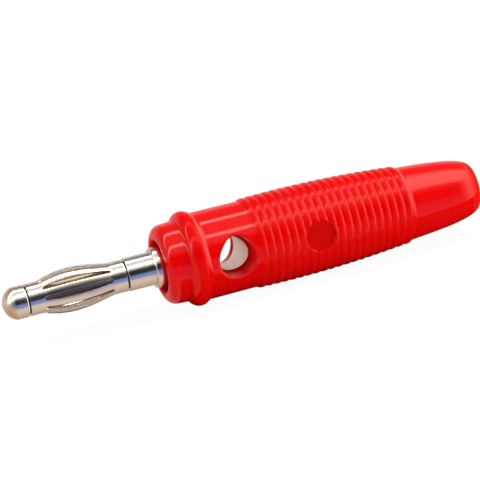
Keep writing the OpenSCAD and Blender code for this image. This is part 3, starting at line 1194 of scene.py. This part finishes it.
# %% Grip tree
def rib_lift(tree, given, x):
    """How far the skin is lifted at a place along the grip: round crests side by side."""
    rib = math_node(tree, "DIVIDE", math_node(tree, "SUBTRACT", x, given["First rib"]), given["Pitch"])
    off_crest = math_node(tree, "SUBTRACT", math_node(tree, "FRACT", rib), 0.5)
    off_crest = math_node(tree, "MULTIPLY", off_crest, given["Pitch"])
    crest_square = math_node(tree, "MULTIPLY", given["Crest radius"], given["Crest radius"])
    left = math_node(tree, "SUBTRACT", crest_square, math_node(tree, "MULTIPLY", off_crest, off_crest))
    crest = math_node(tree, "SQRT", math_node(tree, "MAXIMUM", left, 0.0))
    sunk = math_node(tree, "SUBTRACT", given["Crest radius"], given["Height"])
    lift = math_node(tree, "MAXIMUM", math_node(tree, "SUBTRACT", crest, sunk), 0.0)
    return math_node(tree, "MULTIPLY", lift, between(tree, rib, 0.0, given["Ribs"]))


def spot_share(tree, given, x, y, z):
    """How much of a place belongs to the flat spot, with a soft edge and on the -Y side only."""
    distance = length_of(tree, math_node(tree, "SUBTRACT", x, given["Spot place"]), 0.0, z)
    rim = math_node(tree, "ADD", given["Spot radius"], given["Spot edge"])
    fade = add_node(
        tree, "ShaderNodeMapRange", distance, given["Spot radius"], rim, 1.0, 0.0,
        interpolation_type="SMOOTHSTEP",
    )
    return math_node(tree, "MULTIPLY", output_of(fade), math_node(tree, "LESS_THAN", y, 0.0))


def grip_tree():
    """Lifts round-crested ribs out of the grip's skin and flattens a round spot."""
    sizes = ["First rib", "Pitch", "Ribs", "Height", "Crest radius"]
    sizes += ["Spot place", "Spot radius", "Spot edge", "Spot level"]
    inputs = {"Blank": "Geometry", "Material": "Material", **{size: "Float" for size in sizes}}
    tree, given, result = new_group("Grip ribs", "GeometryNodeTree", inputs, {"Sleeve": "Geometry"})
    skin = output_of(add_node(tree, "GeometryNodeInputNamedAttribute", "grip skin", data_type="FLOAT"))
    place = output_of(tree.nodes.new("GeometryNodeInputPosition"))
    x, y, z = parts_of(tree, place)
    outward = vector_node(tree, "NORMALIZE", vector_of(tree, 0.0, y, z))
    lift = math_node(tree, "MULTIPLY", rib_lift(tree, given, x), skin)
    ribbed = vector_node(tree, "ADD", place, vector_node(tree, "SCALE", outward, lift))
    ribbed_z = parts_of(tree, ribbed)["Z"]
    in_spot = math_node(tree, "MULTIPLY", spot_share(tree, given, x, y, ribbed_z), skin)
    level = math_node(tree, "MULTIPLY", given["Spot level"], -1.0)
    flat = vector_of(tree, x, level, ribbed_z)
    pressed = output_of(add_node(tree, "ShaderNodeMix", in_spot, ribbed, flat, data_type="VECTOR"))
    moved = add_node(tree, "GeometryNodeSetPosition", given["Blank"])
    fill(tree, moved, {"Position": pressed})
    real = output_of(add_node(tree, "GeometryNodeRealizeInstances", output_of(moved)))
    finished = add_node(tree, "GeometryNodeSetMaterial", real)
    fill(tree, finished, {"Material": given["Material"]})
    fill(tree, result, {"Sleeve": output_of(finished)})
    return tree


GRIP_RIBS = grip_tree()
print("tree:", GRIP_RIBS.name, "with", len(GRIP_RIBS.nodes), "nodes")

# %% Make the sleeve
rib_round = 0.8 * MM
spot_edge = 0.12 * MM
spot_level = grip_radius(spot_x) - 0.4 * MM

sleeve = make_piece("grip_sleeve", blank, sleeve_red)
run_tree(sleeve, GRIP_RIBS, {
    "First rib": grip_front,
    "Pitch": rib_pitch,
    "Ribs": float(rib_count),
    "Height": rib_depth,
    "Crest radius": rib_round,
    "Spot place": spot_x,
    "Spot radius": spot_r,
    "Spot edge": spot_edge,
    "Spot level": spot_level,
    "Material": sleeve_red,
})
freeze(sleeve)
crisp(sleeve, 50)
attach(sleeve, "sleeve")
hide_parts("insulating_sleeve")
print("sleeve:", len(sleeve.data.polygons), "faces")

# %% [markdown]
# ## The floor
# The plug was photographed on white. The floor lies under the flange. To the camera it is nearly plain
# white, with a trace of the shadow, and to every other ray it is a pale warm grey that lights the plug from
# below. Reflections don't see it, because the world, two steps on, holds a table of its own.

# %% Make the floor
FLOOR = (0.92, 0.84, 0.76, 1)
floor_half = 1.5
white_share = 0.96


def floor_material():
    """White to the camera, pale and warm to all other rays."""
    material, tree, shader = new_material("floor")
    fill(tree, shader, {"Base Color": FLOOR, "Roughness": 0.9})
    white = add_node(tree, "ShaderNodeEmission", (1, 1, 1, 1), 1.0)
    seen = add_node(tree, "ShaderNodeLightPath").outputs["Is Camera Ray"]
    share = math_node(tree, "MULTIPLY", seen, white_share)
    mixed = add_node(tree, "ShaderNodeMixShader", share, shader.outputs["BSDF"], output_of(white))
    fill(tree, tree.get_output_node("ALL"), {"Surface": output_of(mixed)})
    return material


floor_mesh = bmesh.new()
bmesh.ops.create_grid(floor_mesh, x_segments=4, y_segments=4, size=floor_half)
floor_mesh.transform(Matrix.Translation((0, 0, sleeve_low.z)))
floor = make_piece("floor", floor_mesh, floor_material())
floor.visible_glossy = False
print("floor at %.2f mm" % (sleeve_low.z / MM))

# %% [markdown]
# ## A card of painted shade
# The underside of the sleeve is deep red, although the table is pale. The table right under the sleeve
# lies in the sleeve's own shadow, and this dark card is painted shade that stands in for it. It lies under
# the sleeve and is seen by reflections alone, so it casts no shadow and takes no light away.

# %% Make the card
# CARD_PAINTED_SHADE is painted shade: a near-black red for the table in the sleeve's shadow, seen only in
# reflections.
CARD_PAINTED_SHADE = (0.02, 0.008, 0.008, 1)
card_near = -9.2 * MM
card_far = 12 * MM
card_start = 1.2 * MM
card_length = 3 * tail_end

card_material, card_tree, card_shader = new_material("painted shade card")
fill(card_tree, card_shader, {"Base Color": CARD_PAINTED_SHADE, "Roughness": 0.9, "Specular IOR Level": 0.0})
card_mesh = bmesh.new()
bmesh.ops.create_grid(card_mesh, x_segments=1, y_segments=1, size=0.5)
card_size = Matrix.Diagonal((card_length, card_far - card_near, 1, 1))
card_middle = Vector((card_start + card_length / 2, (card_far + card_near) / 2, sleeve_low.z))
card_mesh.transform(Matrix.Translation(card_middle) @ card_size)
card = make_piece("painted shade card", card_mesh, card_material)
card.visible_camera = False
card.visible_diffuse = False
card.visible_shadow = False
card.visible_transmission = False
print("card:", [round(value / MM, 1) for value in card.dimensions])

# %% [markdown]
# ## The world
# Shiny metal and plastic show what is around them, so the world is a small studio. The camera sees it as
# plain white. All other rays see bands of colour by their angle around the plug's axis: a pale table, a
# cool horizon, a dark camera side, a ceiling with two bright strips of a soft box, and a dim wall behind.
# Towards the tail the two strips become one broad panel with softer edges, which suits the satin tail and
# lights the ribs' rear flanks. A dim wall in front of the tip keeps the dome from going black. The whole
# studio is tilted about the plug's axis, because the real plug lay rolled on its table, with the cross hole
# up towards the lens.

# %% Build the world
studio_tilt = math.radians(30.6)
studio_up = Vector((0, -math.sin(studio_tilt), math.cos(studio_tilt)))
studio_front = Vector((0, -studio_up.z, studio_up.y))
room_strength = 0.84

COOL_LOW, COOL_HIGH = (0.29, 0.42, 0.82), (0.22, 0.37, 0.86)
DARK_LOW, DARK_HIGH = (0.035, 0.030, 0.033), (0.045, 0.037, 0.038)
CEILING, CEILING_GAP = (1.1, 1.05, 1.05), (0.95, 0.86, 0.90)
STRIP, TAIL_LIGHT = (9.6, 9.2, 8.2), (5.0, 4.8, 4.3)
BACK_WALL = (0.34, 0.29, 0.30)
TIP_WALL = (0.36, 0.31, 0.26, 1)
TAIL_PANEL = (4.4, 4.2, 3.7, 1)

table = [(-180, (0.92, 0.80, 0.74)), (-90, (0.64, 0.46, 0.37))]
horizon = [
    (-28, (1.00, 0.80, 0.70)), (-3, (0.98, 0.78, 0.66)),
    (1, COOL_LOW), (24, COOL_HIGH), (29, DARK_LOW), (60, DARK_HIGH),
]
tail_horizon = [
    (-36, (0.92, 0.74, 0.65)), (-14, (0.90, 0.72, 0.62)),
    (5, COOL_LOW), (20, COOL_HIGH), (34, DARK_LOW), (60, DARK_HIGH),
]
over_plug = [
    (74, (1.0, 0.97, 0.96)), (84, CEILING), (86, STRIP), (92, STRIP), (94, CEILING), (102, CEILING_GAP),
    (128, CEILING_GAP), (130, STRIP), (136, STRIP), (138, (0.8, 0.76, 0.76)),
]
over_tail = [(76, (0.9, 0.85, 0.85)), (84, TAIL_LIGHT), (122, TAIL_LIGHT), (136, (1.2, 1.1, 1.1))]
behind = [(144, BACK_WALL), (172, BACK_WALL), (180, (0.75, 0.66, 0.66))]


def bands(tree, share, stops):
    """Bands of colour by the angle around the plug's axis."""
    node = add_node(tree, "ShaderNodeValToRGB", share)
    ramp = node.color_ramp
    while len(ramp.elements) < len(stops):
        ramp.elements.new(0.5)
    for element, (degrees, colour) in zip(ramp.elements, stops):
        element.position = (degrees + 180) / 360
        element.color = (*colour, 1)
    return node.outputs["Color"]


def studio_walls(tree):
    """The colour of the studio in each direction."""
    direction = add_node(tree, "ShaderNodeTexCoord").outputs["Generated"]
    along = parts_of(tree, direction)["X"]
    height = vector_node(tree, "DOT_PRODUCT", direction, tuple(studio_up))
    reach = vector_node(tree, "DOT_PRODUCT", direction, tuple(studio_front))
    share = map_range(tree, math_node(tree, "ARCTAN2", height, reach), -math.pi, math.pi, 0.0, 1.0)
    plug_part = bands(tree, share, table + horizon + over_plug + behind)
    tail_part = bands(tree, share, table + tail_horizon + over_tail + behind)
    walls = mix_colour(tree, map_range(tree, along, 0.34, 0.42, 0.0, 1.0), plug_part, tail_part)
    at_tip = map_range(tree, along, -0.70, -0.84, 0.0, 1.0)
    walls = mix_colour(tree, at_tip, walls, TIP_WALL, blend_type="LIGHTEN")
    return mix_colour(tree, map_range(tree, along, 0.63, 0.81, 0.0, 1.0), walls, TAIL_PANEL)


def studio_world():
    """White to the camera, and the studio to all other rays."""
    world = bpy.data.worlds.new("studio")
    world.use_nodes = True
    tree = world.node_tree
    tree.nodes.clear()
    room = add_node(tree, "ShaderNodeBackground", studio_walls(tree), room_strength)
    white = add_node(tree, "ShaderNodeBackground", (1, 1, 1, 1), 1.0)
    seen = add_node(tree, "ShaderNodeLightPath").outputs["Is Camera Ray"]
    mixed = add_node(tree, "ShaderNodeMixShader", seen, output_of(room), output_of(white))
    add_node(tree, "ShaderNodeOutputWorld", output_of(mixed))
    return world


bpy.context.scene.world = studio_world()
print("world:", bpy.context.scene.world.name)

# %% [markdown]
# ## The lamps
# The world gives most of the light and all of the reflections. Three weak soft boxes add shape to it: one
# above the plug, one behind it and a small fill near the tail. They are hidden from reflections, where the
# world's strips already stand for them.


# %% Hang the lamps
def soft_box(name, direction, distance, size_x, size_y, watts, colour):
    """A rectangular lamp that looks at the plug, with its long side along the plug's axis."""
    data = bpy.data.lights.new(name, "AREA")
    data.shape = "RECTANGLE"
    data.size = size_x
    data.size_y = size_y
    data.energy = watts
    data.color = colour
    lamp = add_object(name, data)
    back = direction.normalized()
    right = (Vector((1, 0, 0)) - back * back.x).normalized()
    aim(lamp, right, back.cross(right), back, distance)
    lamp.visible_camera = False
    lamp.visible_glossy = False
    return lamp


rear_turn = math.radians(50)
rear_direction = studio_up * math.cos(rear_turn) - studio_front * math.sin(rear_turn)
tail_direction = Vector((0.85, -0.55, 0.0))
lamps = [
    soft_box("key soft box", studio_up, 0.35, 0.40, 0.16, 0.05, (1.0, 0.98, 0.96)),
    soft_box("rear soft box", rear_direction, 0.35, 0.40, 0.10, 0.05, (1.0, 0.98, 0.97)),
    soft_box("tail fill", tail_direction, 0.10, 0.08, 0.08, 0.02, (1.0, 0.98, 0.97)),
]
print("lamps:", [lamp.name for lamp in lamps])

# %% Finish
bpy.context.scene.view_settings.view_transform = "Standard"
